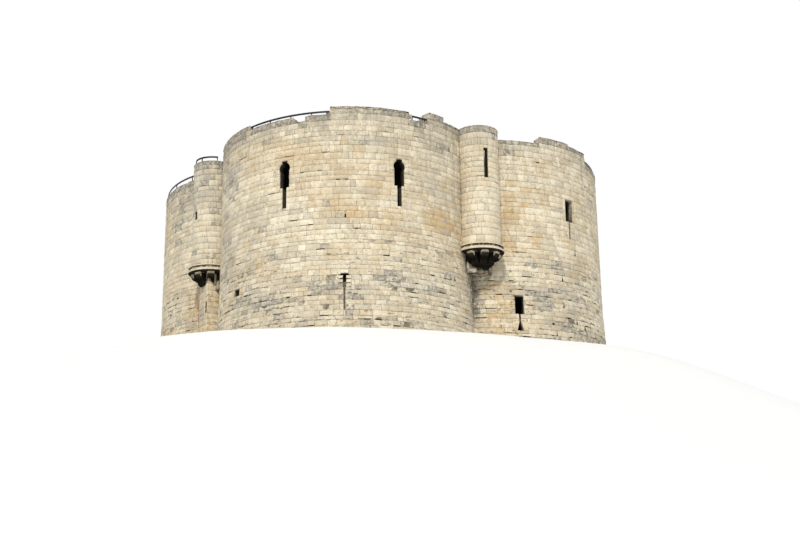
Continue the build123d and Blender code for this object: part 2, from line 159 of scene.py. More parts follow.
def greyer(tones, by):
    """The tones with more grey: weathering, and on the inner walls painted shade."""
    tones[:, 1] = np.clip(tones[:, 1] + by, 0, 1)
    return tones


def batter(z):
    """How far the foot of a wall stands out: falls in a straight line from the spread at the ground to nothing."""
    return BATTER_SPREAD * np.clip(1 - z / BATTER_HEIGHT, 0, 1)


def round_face(centre, radius, start_degrees, inward=False, battered=False):
    """A wall face round a circle: angle is start plus length over radius, and depth is measured into the wall."""
    way = -1.0 if inward else 1.0

    def place(s, z, depth):
        turn = math.radians(start_degrees) + way * s / radius
        reach = radius + (batter(z) if battered else 0.0) - way * depth
        return np.stack([centre[0] + reach * np.cos(turn), centre[1] + reach * np.sin(turn), z + 0 * s], -1)

    return place


def flat_face(left, right):
    """A flat upright face from its left corner to its right corner, seen from outside: point plus length along it."""
    run = np.array(right, float) - np.array(left, float)
    run /= np.hypot(*run)
    out = np.array([run[1], -run[0]])

    def place(s, z, depth):
        return np.stack([left[0] + run[0] * s - out[0] * depth, left[1] + run[1] * s - out[1] * depth, z + 0 * s], -1)

    return place


def top_face(centre, radius, start_degrees, height):
    """A level face on top of a round wall: s runs round it, q runs in from the outer edge, depth runs down."""
    side = round_face(centre, radius, start_degrees)
    return lambda s, q, depth: side(s, height - depth, q)


def course_levels(low, high, thick):
    """Bed joint heights: uneven courses whose random thicknesses are scaled to fill the height exactly."""
    count = max(1, round((high - low) / thick))
    steps = rng.uniform(0.72, 1.28, count)
    return low + (high - low) * np.concatenate([[0], np.cumsum(steps)]) / steps.sum()


def lay_stones(low, high, levels, length, openings=(), heights=None):
    """Rectangles of coursed stone from low to high: each course is a row of joints at running sums of random lengths.

    Joints snap to the sides of an opening, and a stone inside its sides keeps only what lies over or under it.
    heights gives the top of the wall at a length.
    """
    rows = []
    for foot, top in zip(levels[:-1], levels[1:]):
        mean = length * rng.uniform(0.78, 1.25)
        count = int((high - low) / mean * 2) + 4
        joints = low - rng.uniform(0, mean) + np.cumsum(rng.uniform(0.45, 1.55, count) * mean)
        joints = joints[(joints > low + 0.14) & (joints < high - 0.14)]
        cuts = [o for o in openings if min(top, o[3]) - max(foot, o[2]) > 0.004]
        for left, right, _, _ in cuts:
            joints = joints[(joints < left - 0.11) | (joints > right + 0.11)]
        edges = np.unique(np.concatenate([[low, high], joints, [side for cut in cuts for side in cut[:2]]]))
        edges = edges[(edges >= low) & (edges <= high)]
        for first, last in zip(edges[:-1], edges[1:]):
            spans = [(foot, top)]
            for left, right, under, over in cuts:
                if first > left - 1e-4 and last < right + 1e-4:
                    spans = [part for a, b in spans for part in ((a, min(b, under)), (max(a, over), b))]
                    spans = [(a, b) for a, b in spans if b - a > 0.045]
            rows += [(first, last, a, b) for a, b in spans]
    rects = np.array(rows)
    if heights is not None:
        limit = heights(middles(rects)[0])
        alive = limit > rects[:, 2] + 0.08
        rects, limit = rects[alive], limit[alive]
        rects[:, 3] = np.where(limit < rects[:, 3] + 0.1, limit, rects[:, 3])
    return rects


def stone_shell(place, sides, levels, columns, front, inset=0.012, wobble=0.005):
    """Points and faces of many stones: each is a front, a sloping rim and sides that run back to the mortar.

    sides holds each stone's left and right edge at each of its levels. A stone is a grid in its own two lengths,
    shaken a little and carried onto the wall by place, and all of them are worked out as one array.
    """
    n, rows = levels.shape
    wide = columns + 1
    steps = np.linspace(0, 1, wide)
    ends = np.zeros(rows)
    ends[0], ends[-1] = 1, -1
    spread = np.minimum((sides[..., 1] - sides[..., 0]).min(1), levels[:, -1] - levels[:, 0])
    rim = np.minimum(inset, 0.3 * spread)[:, None]
    layers = []
    for pull, sink in ((1, 0.0), (0, 0.010), (0, None)):
        low, high = sides[..., 0] + pull * rim, sides[..., 1] - pull * rim
        across = low[..., None] + (high - low)[..., None] * steps
        up = np.repeat((levels + pull * rim * ends)[..., None], wide, 2)
        deep = np.full(across.shape, CORE_DEPTH + 0.004)
        if sink is not None:
            deep[:] = (front + sink)[:, None, None]
        layers.append(np.stack([across, up, deep], 1))
    grid = np.stack(layers, 1)
    grid[:, :2, :2] += rng.uniform(-wobble, wobble, (n, 1, 2, rows, wide))
    grid[:, 0, 2] += rng.uniform(0, wobble, (n, rows, wide))
    grid[:, :, 1] = np.maximum(grid[:, :, 1], 0.002)
    points = place(grid[:, :, 0], grid[:, :, 1], grid[:, :, 2]).reshape(n, -1, 3)
    corners = [r * wide + c for r in range(rows - 1) for c in range(columns)]
    quads = [(first, first + 1, first + wide + 1, first + wide) for first in corners]
    ring = list(range(wide)) + [r * wide + columns for r in range(1, rows)]
    ring += [(rows - 1) * wide + c for c in range(columns - 1, -1, -1)] + [r * wide for r in range(rows - 2, 0, -1)]
    for layer in (0, 1):
        near, far = layer * rows * wide, (layer + 1) * rows * wide
        quads += [(near + b, near + a, far + a, far + b) for a, b in zip(ring, ring[1:] + ring[:1])]
    return points, np.array(quads)[None] + 3 * rows * wide * np.arange(n)[:, None, None]


class Masonry:
    """Gathers the stones, mortar core and dark joints of one node before they become one mesh."""

    def __init__(self):
        self.points, self.faces, self.tones, self.kinds, self.count = [], [], [], [], 0

    def add(self, points, faces, tones, kind):
        points, faces = points.reshape(-1, 3), faces.reshape(-1, faces.shape[-1])
        self.points.append(points)
        self.faces.append(faces + self.count)
        self.tones.append(tones)
        self.kinds.append(np.full(len(faces), kind))
        self.count += len(points)


def patch(x, y, spots):
    """Sum of soft spots: each is a bell over its own middle, width and height."""
    total = np.zeros_like(x)
    for middle_x, middle_y, wide, tall, strength in spots:
        total += strength * np.exp(-((x - middle_x) / wide) ** 2 - ((y - middle_y) / tall) ** 2)
    return total


def slow_noise(a, b, seed):
    """Slow uneven drift over a wall: a sum of crossing sine waves with unlike lengths."""
    local = np.random.default_rng(seed)
    total = np.zeros_like(a)
    for wave in (0.5, 0.9, 1.7, 3.1):
        turn, phase = local.uniform(0, 6.28, 2)
        total += np.sin(wave * (a * np.cos(turn) + b * np.sin(turn)) + phase) / (1 + wave)
    return total / 1.6


# Warm iron stained spots and grey spots on the lobes that the photo shows: place along the wall, level, and the
# spot's own width, height and strength
FRONT_WARM = [
    (0.45, 6.13, 0.6, 0.18, 1.1), (1.9, 5.50, 0.8, 0.2, 1.0), (0.9, 5.9, 0.7, 0.2, 0.4), (6.15, 5.80, 0.7, 0.4, 1.0),
    (7.1, 5.35, 0.7, 0.3, 1.1), (5.45, 6.65, 0.35, 0.22, 0.8), (3.3, 7.04, 0.5, 0.14, 0.9),
    (-0.5, 7.00, 0.4, 0.3, 0.4), (-2.5, 3.55, 0.7, 0.3, 0.5), (2.7, 2.75, 1.0, 0.3, 0.4), (4.6, 1.3, 1.0, 0.4, 0.4),
    (-5.0, 2.1, 0.4, 0.5, 0.7),
]
RIGHT_WARM = [
    (-7.5, 7.16, 0.35, 0.5, 1.0), (-7.1, 6.60, 0.4, 0.3, 1.1), (-7.5, 8.29, 0.25, 0.2, 0.7),
    (-6.5, 7.02, 0.12, 0.25, 1.2), (-7.8, 5.2, 0.5, 0.5, 0.8), (-8.2, 2.85, 0.7, 0.4, 1.2),
    (-8.1, 1.2, 0.8, 0.4, 0.9), (-7.6, 2.1, 0.5, 0.5, 0.7), (-5.1, 2.5, 0.3, 0.22, 1.6),
    (-6.24, 2.11, 0.35, 0.14, 1.1), (-8.0, 2.85, 0.9, 0.35, 0.8), (-8.3, 1.4, 0.5, 0.3, 0.6),
    (-3.9, 5.6, 0.3, 0.2, 0.9), (-5.0, 8.0, 0.6, 0.3, 0.3),
]
FRONT_GREY = [
    (-1.5, 3.72, 0.7, 0.3, 0.9), (3.4, 2.52, 0.5, 0.25, 1.0), (4.1, 2.30, 0.8, 0.2, 0.7), (-5.1, 8.4, 1.1, 0.9, 0.9),
    (-5.4, 4.8, 0.8, 2.5, 0.5), (6.5, 9.2, 0.9, 0.5, 1.0), (3.2, 9.0, 1.3, 0.35, 0.7), (0.9, 9.2, 1.0, 0.3, 0.6),
    (-6.8, 6.5, 1.2, 3.5, 0.3), (4.9, 5.2, 0.5, 0.5, 0.5), (5.4, 4.1, 0.3, 0.8, 0.6), (-7.6, 10.3, 2.2, 0.5, 1.3),
    (9.05, 2.4, 0.3, 1.9, 1.7), (8.6, 3.6, 0.4, 0.5, 0.9),
]
RIGHT_GREY = [
    (-6.2, 4.26, 0.35, 0.2, 1.2), (-4.98, 4.28, 0.3, 0.15, 1.2), (-5.84, 2.55, 0.3, 0.45, 1.2),
    (-4.94, 3.0, 0.35, 0.2, 0.9), (-9.1, 2.4, 0.25, 1.8, 1.5), (-5.85, 4.54, 0.4, 0.12, 1.2),
    (-6.47, 4.08, 0.35, 0.12, 1.3), (-4.8, 4.3, 0.6, 0.3, 0.8), (-5.7, 2.3, 0.3, 0.4, 1.0),
    (-3.2, 4.6, 0.9, 1.1, 0.35), (-3.9, 2.0, 1.0, 0.9, 0.4),
]
LEFT_WARM = [
    (7.5, 2.2, 0.7, 1.3, 1.0), (5.7, 5.2, 0.3, 0.7, 0.4),
]
LEFT_GREY = [
    (6.1, 8.6, 1.3, 0.5, 0.9), (5.6, 7.5, 0.8, 0.8, 0.7), (6.0, 6.0, 0.4, 1.3, 0.5), (7.4, 1.4, 0.3, 0.8, 0.7),
]


def stone_tones(lobe, s, z, wall_top, dressed=0.0):
    """Colour parts of each stone: red is its own shade, green is grey weathering and blue is warm staining.

    Weathering grows in the parapet and in slow patches; a few single stones are much greyer or warmer.
    """
    n = len(s)
    seed = list(LOBES).index(lobe) if lobe in LOBES else 7
    drift = slow_noise(s, z * 1.6, seed + 3)
    under_top = np.clip(1 - (wall_top - z) / 1.3, 0, 1)
    low = np.clip(1 - z / 4.2, 0, 1)
    bands = np.clip(slow_noise(s * 1.9 + 5, z * 5.5, seed + 20) - 0.12, 0, 1) * np.clip(low * 3, 0, 1)
    grey = 0.10 + 0.26 * drift + 0.92 * under_top**1.7 + 0.22 * low + 0.95 * bands
    warm = 0.10 + 0.30 * np.clip(slow_noise(s + 9, z * 2.2 + 4, seed + 11), -1, 1)
    if lobe == "front":
        grey += patch(s, z, FRONT_GREY) * 0.6
        warm += patch(s, z, FRONT_WARM) * 0.9
    if lobe == "right":
        grey += -0.08 + patch(s, z, RIGHT_GREY) * 0.8
        warm += patch(s, z, RIGHT_WARM) * 1.1
    if lobe == "left":
        grey += 0.12 - 0.6 * bands + patch(s, z, LEFT_GREY) * 0.6
        warm += patch(s, z, LEFT_WARM) * 0.9
    odd = rng.random(n) + np.where(z < 3.9, 0.035, 0)
    if lobe == "front_left":
        grey += 0.42 + 0.4 * np.exp(-((z - 8.3) / 0.5) ** 2)
    grey += np.where(odd > 0.93, 0.5, 0) + rng.normal(0, 0.13, n) - 0.15 * dressed
    warm += np.where(odd < 0.03, 0.45, 0) + rng.normal(0, 0.08, n)
    warm *= 1 - 0.7 * under_top
    return np.stack([rng.random(n), np.clip(grey, 0, 1), np.clip(warm, 0, 0.8)], -1)


def merged(node):
    """A CAD node's points and triangles with doubled points joined."""
    mesh = cad[node].data
    co = np.empty(len(mesh.vertices) * 3)
    mesh.vertices.foreach_get("co", co)
    mesh.calc_loop_triangles()
    tri = np.empty(len(mesh.loop_triangles) * 3, int)
    mesh.loop_triangles.foreach_get("vertices", tri)
    points, index = np.unique(np.round(co.reshape(-1, 3), 5), axis=0, return_inverse=True)
    tri = index.reshape(-1)[tri].reshape(-1, 3)
    return points, tri[(tri[:, 0] != tri[:, 1]) & (tri[:, 1] != tri[:, 2]) & (tri[:, 0] != tri[:, 2])]


def core_points(points, top=None, inner_radius=None, centre=None):
    """The mortar core of a wall: points on an outer face move in and points on an inner face out, by its depth."""
    moved = points.copy()
    x, y, z = points.T

    def push(east, north, radius, by):
        """Moves the points at a radius. east and north are their distances from the circle's middle."""
        reach = np.maximum(np.hypot(east, north), 1e-6)
        on = np.abs(reach - radius) < ON_FACE
        moved[on, 0] += by * east[on] / reach[on]
        moved[on, 1] += by * north[on] / reach[on]

    for lobe in LOBES:
        cx, cy = lobe_centre(lobe)
        push(x - cx, y - cy, LOBE_RADIUS + batter(z), -CORE_DEPTH)
        if inner_radius:
            push(x - cx, y - cy, inner_radius, CORE_DEPTH)
    past_x, past_y = (np.sign(v) * np.maximum(np.abs(v) - LOBE_OFFSET, 0) for v in (x, y))
    push(past_x, y, BAY_RADIUS, CORE_DEPTH)
    push(x, past_y, BAY_RADIUS, CORE_DEPTH)
    if centre is not None:
        push(x - centre[0], y - centre[1], TURRET_RADIUS, -CORE_DEPTH)
    if top is not None:
        moved[z > top, 2] -= CORE_DEPTH
    return moved


works = {node: Masonry() for node in cad}


def give(owner, rects, points, faces, tones, kind):
    """Hands each stone to the node that owner names for it."""
    owners = owner(rects) if callable(owner) else np.full(len(rects), owner)
    for node in sorted(set(owners)):
        mine = np.flatnonzero(owners == node)
        per = points.shape[1]
        shift = (np.arange(len(mine)) - mine) * per
        works[node].add(points[mine], faces[mine] + shift[:, None, None], np.repeat(tones[mine], per, 0), kind)


def lay_on(owner, place, rects, tones, columns=1, gap=(0.007, 0.018), depth=(0.0, 0.012), lost=0.0, **shape):
    """Lays stones on a face.

    lost is the share whose bed joint has washed out to a dark gap. A few more have a hole beside them.
    """
    n = len(rects)
    left, right, foot, top = rects.T
    edges = rects + rng.uniform(*gap, (n, 4)) / 2 * [1, -1, 1, -1]
    chance = rng.random(n)
    tall, long = top - foot, right - left
    open_bed = (chance < lost) & (tall > 0.17) & (long > 0.25)
    hole = (chance > 1 - 0.12 * lost) & (tall > 0.15) & (long > 0.42)
    edges[open_bed, 2] += rng.uniform(0.015, 0.045, open_bed.sum())
    edges[hole, 0] += rng.uniform(0.05, 0.10, hole.sum())
    hole_top = foot + tall
    hole_top[hole] = foot[hole] + rng.uniform(0.3, 0.6, hole.sum()) * tall[hole]
    front = STONE_DEPTH + rng.uniform(*depth, n)
    sides = np.repeat(edges[:, None, :2], 2, 1)
    points, faces = stone_shell(place, sides, edges[:, 2:], columns, front, **shape)
    give(owner, rects, points, faces, tones, 0)
    dark = np.concatenate([
        np.stack([left - 0.01, right + 0.01, foot - 0.006, edges[:, 2] + 0.006], -1)[open_bed],
        np.stack([left - 0.006, edges[:, 0] + 0.008, foot + 0.004, hole_top], -1)[hole],
    ])
    if len(dark):
        beds = open_bed.sum()
        trim = rng.uniform(0.15, 0.85, beds) * (dark[:beds, 1] - dark[:beds, 0])
        side = rng.random(beds)
        dark[:beds, 0] += trim * side
        dark[:beds, 1] -= trim * (1 - side)
        dark[:, 2] = np.maximum(dark[:, 2], 0.003)
        lay_dark(owner, place, dark)


def lay_dark(owner, place, rects):
    """Dark insides of open joints and holes: flat patches behind the stone faces that paint the shade in them."""
    across, up = rects[:, [0, 1, 1, 0]], rects[:, [2, 2, 3, 3]]
    points = place(across, up, np.full(across.shape, DARK_DEPTH))
    quads = np.arange(4)[None, None] + 4 * np.arange(len(rects))[:, None, None]
    give(owner, rects, points, quads, np.zeros((len(rects), 3)), 2)


def lay_jambs(owner, place, at, kind, lobe):
    """The hewn stones on both sides of a loop, each shaped along the loop's edge."""
    for outer, levels, inner in LOOP_JAMBS[kind]:
        for hand in (-1, 1):
            reach = outer + rng.uniform(-0.004, 0.004)
            edge = at + hand * np.array(inner)
            rim = np.full(len(inner), at + hand * reach)
            sides = np.stack([rim, edge] if hand < 0 else [edge, rim], -1)[None]
            sides = sides + ([0.006, -0.003] if hand < 0 else [0.003, -0.006])
            heights = np.array([levels], float)
            heights[:, 0] += 0.005
            heights[:, -1] -= 0.005
            left, right = sides[0, 0]
            rect = np.array([[left, right, levels[0], levels[-1]]])
            tone = stone_tones(lobe, rect[:, 0], rect[:, 2], OPEN_TOP, dressed=1.0)
            if kind == "short" or (kind == "plain" and hand > 0):
                tone[:, 2] = 0.75 if kind == "short" else 0.35
            if kind == "bar":
                heights[:, -1] -= 0.035
                left, right = left + 0.07 * (hand < 0), right - 0.07 * (hand > 0)
                lay_dark(owner, place, np.array([[left, right, levels[-1] - 0.045, levels[-1] + 0.004]]))
            front = np.array([STONE_DEPTH + 0.002])
            points, faces = stone_shell(place, sides, heights, 1, front, inset=0.010, wobble=0.003)
            give(owner, rect, points, faces, tone, 0)


def wall_owner(lobe, degrees):
    """Names the wall node that holds the middle of each stone, from its angle and its height."""

    def owner(rects):
        middle, level = middles(rects)
        turn, high = degrees(middle), level > STOREY
        first = np.where(high, UPPER_PARTING[lobe][0], LOWER_PARTING[lobe][0])
        last = np.where(high, UPPER_PARTING[lobe][1], LOWER_PARTING[lobe][1])
        third = np.where(turn < first, "left", np.where(turn > last, "right", "centre"))
        names = np.char.add(np.char.add(f"{lobe}_", np.where(high, "upper_", "lower_")), third)
        if lobe == "back":
            low_middle = names == "back_lower_centre"
            side = np.where(turn < 0, "back_door_side_left", "back_door_side_right")
            names = names.astype("U32")
            names[low_middle] = np.where(level > DOOR_SPRING, "back_over_door", side)[low_middle]
        return names

    return owner


def parapet_height(lobe):
    """Top of the parapet at a local angle: the low height, or that of the standing length there."""

    def height(degrees):
        top = np.full(np.shape(degrees), WALK + LOW_PARAPET)
        for first, last, rise in STANDING[lobe]:
            top = np.where((degrees > first) & (degrees < last), WALK + rise, top)
        return top

    return height


def free_at(at, steps):
    """The sides, foot and top of each step of an opening whose middle is at a length along the wall."""
    return [(at - wide, at + wide, foot, top) for wide, foot, top in steps]


def lay_outside(lobe, axis):
    """The outer face of a lobe: coursed stones, the lower courses more worn, and hewn stones at its loops."""
    loops = [(math.radians(turn) * LOBE_RADIUS, kind) for turn, kind in LOOPS[lobe]]
    free = [step for at, kind in loops for step in free_at(at, LOOP_GAPS[kind])]
    if lobe == "back":
        free += free_at(0.0, DOOR_GAPS)
    half = math.radians(CORNER_DEGREES) * LOBE_RADIUS
    rects = lay_stones(-half, half, wall_levels, 0.47, free)
    middle, level = middles(rects)
    tones = stone_tones(lobe, middle, level, parapet_height(lobe)(np.degrees(middle / LOBE_RADIUS)))
    owner = wall_owner(lobe, lambda s: np.degrees(s / LOBE_RADIUS))
    face = round_face(lobe_centre(lobe), LOBE_RADIUS, axis, battered=True)
    low = level < ROUGH_BELOW
    lay_on(owner, face, rects[low], tones[low], gap=(0.004, 0.021), depth=(0.0, 0.024), wobble=0.010, lost=0.11)
    lay_on(owner, face, rects[~low], tones[~low], gap=(0.005, 0.017), lost=0.014)
    for at, kind in loops:
        lay_jambs(owner, face, at, kind, lobe)


def lay_inside(lobe, axis):
    """The inner face of a lobe's bay round the recesses of its loops, and the two flat lengths beside the bay, greyed
    as painted shade.
    """
    inner = {"gap": (0.012, 0.032), "wobble": 0.008}
    free = []
    for turn, kind in LOOPS[lobe]:
        foot, spring, top = LOOP_RECESS[kind]
        arch = [(0.555, foot, spring), (0.47, spring, top - 0.14), (0.27, top - 0.14, top)]
        free += free_at((math.pi / 2 - math.radians(turn)) * BAY_RADIUS, arch)
    if lobe == "back":
        free += free_at(math.pi / 2 * BAY_RADIUS, DOOR_RECESS)
    rects = lay_stones(0.0, math.pi * BAY_RADIUS, wall_levels[:-1], 0.42, free)
    middle, level = middles(rects)
    # greyer stones here are painted shade for the inside of the bay
    tones = greyer(stone_tones(lobe, middle + 40, level, INNER_TOP), 0.25)
    owner = wall_owner(lobe, lambda s: 90 - np.degrees(s / BAY_RADIUS))
    face = round_face(lobe_centre(lobe), BAY_RADIUS, axis + 90, inward=True)
    lay_on(owner, face, rects, tones, lost=0.03, **inner)
    out, side = axes_at(axis)
    for hand, third in ((1, "right"), (-1, "left")):
        ends = [reach * out + hand * BAY_RADIUS * side for reach in (BAY_RADIUS, LOBE_OFFSET)][::hand]
        names = (f"{lobe}_upper_{third}", f"{lobe}_lower_{third}")
        owner = lambda stones: np.where(middles(stones)[1] > STOREY, *names)
        rects = lay_stones(0.0, LOBE_OFFSET - BAY_RADIUS, wall_levels[:-1], 0.42)
        # much greyer: painted shade for the flat lengths that the sun hardly reaches
        tones = greyer(stone_tones(lobe, rects[:, 0] + 60, middles(rects)[1], INNER_TOP), 0.7)
        lay_on(owner, flat_face(*ends), rects, tones, **inner)


def lay_parapet(lobe, axis):
    """Both sides of a lobe's parapet, its crest stones narrow, dark and ragged, and rough coping stones on top."""
    node, centre, crest_at = f"{lobe}_parapet", lobe_centre(lobe), parapet_height(lobe)
    levels = course_levels(WALK, PARAPET_LIMIT, PARAPET_COURSE)
    for radius, hand, limit in ((LOBE_RADIUS, 1, 73.2), (PARAPET_INSIDE, -1, 72.0)):
        reach = math.radians(limit) * radius
        height = lambda s: crest_at(hand * np.degrees(s / radius))
        rects = lay_stones(-reach, reach, levels, 0.42, [], height)
        upper = rects[:, 3] > height(middles(rects)[0]) - 1e-6
        split = rects[upper]
        count = len(split)
        middle = split[:, 0] + (split[:, 1] - split[:, 0]) * rng.uniform(0.35, 0.65, count)
        halves = np.concatenate([split, split])
        halves[:count, 1], halves[count:, 0] = middle, middle
        halves[:, 3] -= rng.uniform(0.0, 0.06, 2 * count) + np.where(rng.random(2 * count) < 0.12, 0.05, 0)
        halves = halves[halves[:, 3] - halves[:, 2] > 0.06]
        face = round_face(centre, radius, axis, inward=hand < 0)
        for part, dark in ((rects[~upper], 0.05), (halves, 0.7)):
            middle, level = middles(part)
            tones = greyer(stone_tones(lobe, middle + (80 if hand < 0 else 0), level, height(middle)), dark)
            lay_on(node, face, part, tones, depth=(0.0, 0.02), wobble=0.009, lost=0.02)
    steps = np.clip([turn for length in STANDING[lobe] for turn in length[:2]], -PARAPET_END, PARAPET_END)
    ends = sorted({-PARAPET_END, PARAPET_END, *steps})
    for first, last in zip(ends[:-1], ends[1:]):
        if last - first < 0.8:
            continue
        height = float(crest_at((first + last) / 2))
        low, high = math.radians(first) * LOBE_RADIUS, math.radians(last) * LOBE_RADIUS
        rects = lay_stones(low, high, np.array([0.0, 0.26, PARAPET_THICK]), 0.34)
        tones = greyer(stone_tones(lobe, rects[:, 0], np.full(len(rects), height), height), 0.4)
        face = top_face(centre, LOBE_RADIUS, axis, height)
        lay_on(node, face, rects, tones, gap=(0.02, 0.05), depth=(-0.008, 0.022), wobble=0.012)


# Stones of the round walls and parapets. The low courses are thinner
lower_levels = course_levels(0.0, STOREY, LOWER_COURSE)
upper_levels = course_levels(STOREY, WALK, UPPER_COURSE)
wall_levels = np.concatenate([lower_levels, upper_levels[1:]])
for lobe, axis in LOBES.items():
    lay_outside(lobe, axis)
    lay_inside(lobe, axis)
    lay_parapet(lobe, axis)

# Mortar cores of the walls and parapets, and the paving of the walk
for node in cad:
    lobe = node.split("_")[0]
    if lobe in LOBES and any(word in node for word in ("_lower_", "_upper_", "door_side", "over_door")):
        points, faces = merged(node)
        # a red mark where the rubble paints loop mouths black as painted shade; door walls and the upper plain loops
        # of the side lobes get none
        shaded_mouths = np.full(len(points), 0.0 if "door" in node else 1.0)
        if lobe in ("right", "left"):
            shaded_mouths[points[:, 2] > LOOP_GAPS["plain"][1][1] + 0.01] = 0.0
        works[node].add(core_points(points), faces, shaded_mouths[:, None] * [1.0, 0.0, 0.0], 1)
    if node.endswith("_parapet"):
        points, faces = merged(node)
        moved = core_points(points, top=WALK + 0.5, inner_radius=PARAPET_INSIDE)
        works[node].add(moved, faces, np.zeros((len(points), 3)), 1)
points, faces = merged("wall_walk")
works["wall_walk"].add(core_points(points), faces, np.tile([0.5, 0.5, 0.2], (len(points), 1)), 0)

# Turrets: smaller stones round them, and coping stones on top
for corner, (diagonal, top, angle, foot, head) in TURRETS.items():
    centre = polar(TURRET_REACH, diagonal)
    reach = math.radians(TURRET_SPAN) * TURRET_RADIUS
    at = math.radians((angle - diagonal + 180) % 360 - 180) * TURRET_RADIUS
    levels = course_levels(TURRET_FOOT, top, TURRET_COURSE)
    rects = lay_stones(-reach, reach, levels, 0.36, [(at - 0.11, at + 0.11, foot, head)])
    middle, level = middles(rects)
    tones = stone_tones(corner, middle * 2 + diagonal, level, top, dressed=0.5)
    node = f"{corner}_turret"
    face = round_face(centre, TURRET_RADIUS, diagonal)
    tones[:, 1] += np.where(rects[:, 3] > top - 1e-6, 0.3, 0)
    lay_on(node, face, rects, np.clip(tones, 0, 1), columns=3, lost=0.012)
    rects = lay_stones(-reach * 1.02, reach * 1.02, np.array([0.0, 0.36]), 0.34)
    tones = stone_tones(corner, rects[:, 0], np.full(len(rects), top), top)
    lay_on(node, top_face(centre, TURRET_RADIUS, diagonal, top), rects, tones, columns=3, wobble=0.01)
    points, faces = merged(node)
    moved = core_points(points, top=top - 0.1, centre=centre)
    # points inside the turret's loop carry a blue mark, by which the rubble paints them black as shade
    within = np.hypot(points[:, 0] - centre[0], points[:, 1] - centre[1]) < TURRET_RADIUS - 0.1
    at_loop = within & (points[:, 2] > foot - 0.01) & (points[:, 2] < head + 0.01)
    works[node].add(moved, faces, at_loop[:, None] * [0.0, 0.0, 1.0], 1)

# Square pier under the front left turret
out, side = axes_at(TURRETS["front_left"][0])
pier_face = TURRET_REACH + PIER_FACE_BEYOND
half = PIER_WIDTH / 2
plan = ((PIER_BACK, -half), (pier_face, -half), (pier_face, half), (PIER_BACK, half))
corners = [along * out + beside * side for along, beside in plan]
levels = course_levels(0.0, RING_FOOT, PIER_COURSE)
for index, (left, right) in enumerate(zip(corners[:-1], corners[1:])):
    span = float(np.hypot(*(right - left)))
    holes = [(half * 2 - 0.29, half * 2 - 0.05, 2.40, 2.96)] if index == 1 else []
    rects = lay_stones(0.0, span, levels, 0.5, holes)
    tones = stone_tones("pier", rects[:, 0], middles(rects)[1], OPEN_TOP, dressed=1.0)
    # the third face is painted paler and less grey, as painted light where the sun falls on it; all faces are warmer
    tones[:, 0] *= (1.0, 1.0, 0.2)[index]
    tones = greyer(tones, (0.0, 0.0, -0.2)[index])
    tones[:, 2] = np.clip(tones[:, 2] + (0.3, 0.5, 0.42)[index], 0, 1)
    lay_on("garderobe_pier", flat_face(left, right), rects, tones, gap=(0.006, 0.014))
    # a dark patch paints the shade inside the slot
    if holes:
        lay_dark("garderobe_pier", flat_face(left, right), np.array(holes))
points, faces = merged("garderobe_pier")
moved = points.copy()
along, beside = points[:, :2] @ out, points[:, :2] @ side
moved[:, :2] -= np.where(np.abs(along - pier_face) < 0.01, CORE_DEPTH, 0)[:, None] * out
for hand in (-1, 1):
    moved[:, :2] -= np.where(np.abs(beside - hand * half) < 0.01, CORE_DEPTH * hand, 0)[:, None] * side
works["garderobe_pier"].add(moved, faces, np.zeros((len(points), 3)), 1)


# Materials. Colours are linear
CREAM = (0.90, 0.815, 0.63, 1)
CREAM_DARK = (0.57, 0.485, 0.335, 1)
GREY = (0.45, 0.42, 0.35, 1)
DARK_GREY = (0.17, 0.15, 0.12, 1)
OCHRE = (0.57, 0.385, 0.175, 1)
TAN = (0.62, 0.47, 0.27, 1)
DIRT_AND_HOLE_SHADE = (0.10, 0.085, 0.06, 1)
# near black of painted shade deep in the walls and in loop mouths, which also darkens damp mortar low down
SHADE_AND_DAMP_BLACK = (0.018, 0.015, 0.012, 1)
# near black of painted shade under the turret rings, with some soot
SHADE_AND_SOOT_BLACK = (0.007, 0.006, 0.005, 1)
COLOUR, NUMBER, VECTOR = "NodeSocketColor", "NodeSocketFloat", "NodeSocketVector"


class Signal:
    """What a node puts out. Sums of signals and numbers become nodes of their own."""

    def __init__(self, w, socket):
        self.w, self.socket = w, socket

    def __add__(self, other):
        return self.w.maths("ADD", self, other)

    def __sub__(self, other):
        return self.w.maths("SUBTRACT", self, other)

    def __rsub__(self, other):
        return self.w.maths("SUBTRACT", other, self)

    def __mul__(self, other):
        return self.w.maths("MULTIPLY", self, other)

    def __abs__(self):
        return self.w.maths("ABSOLUTE", self)


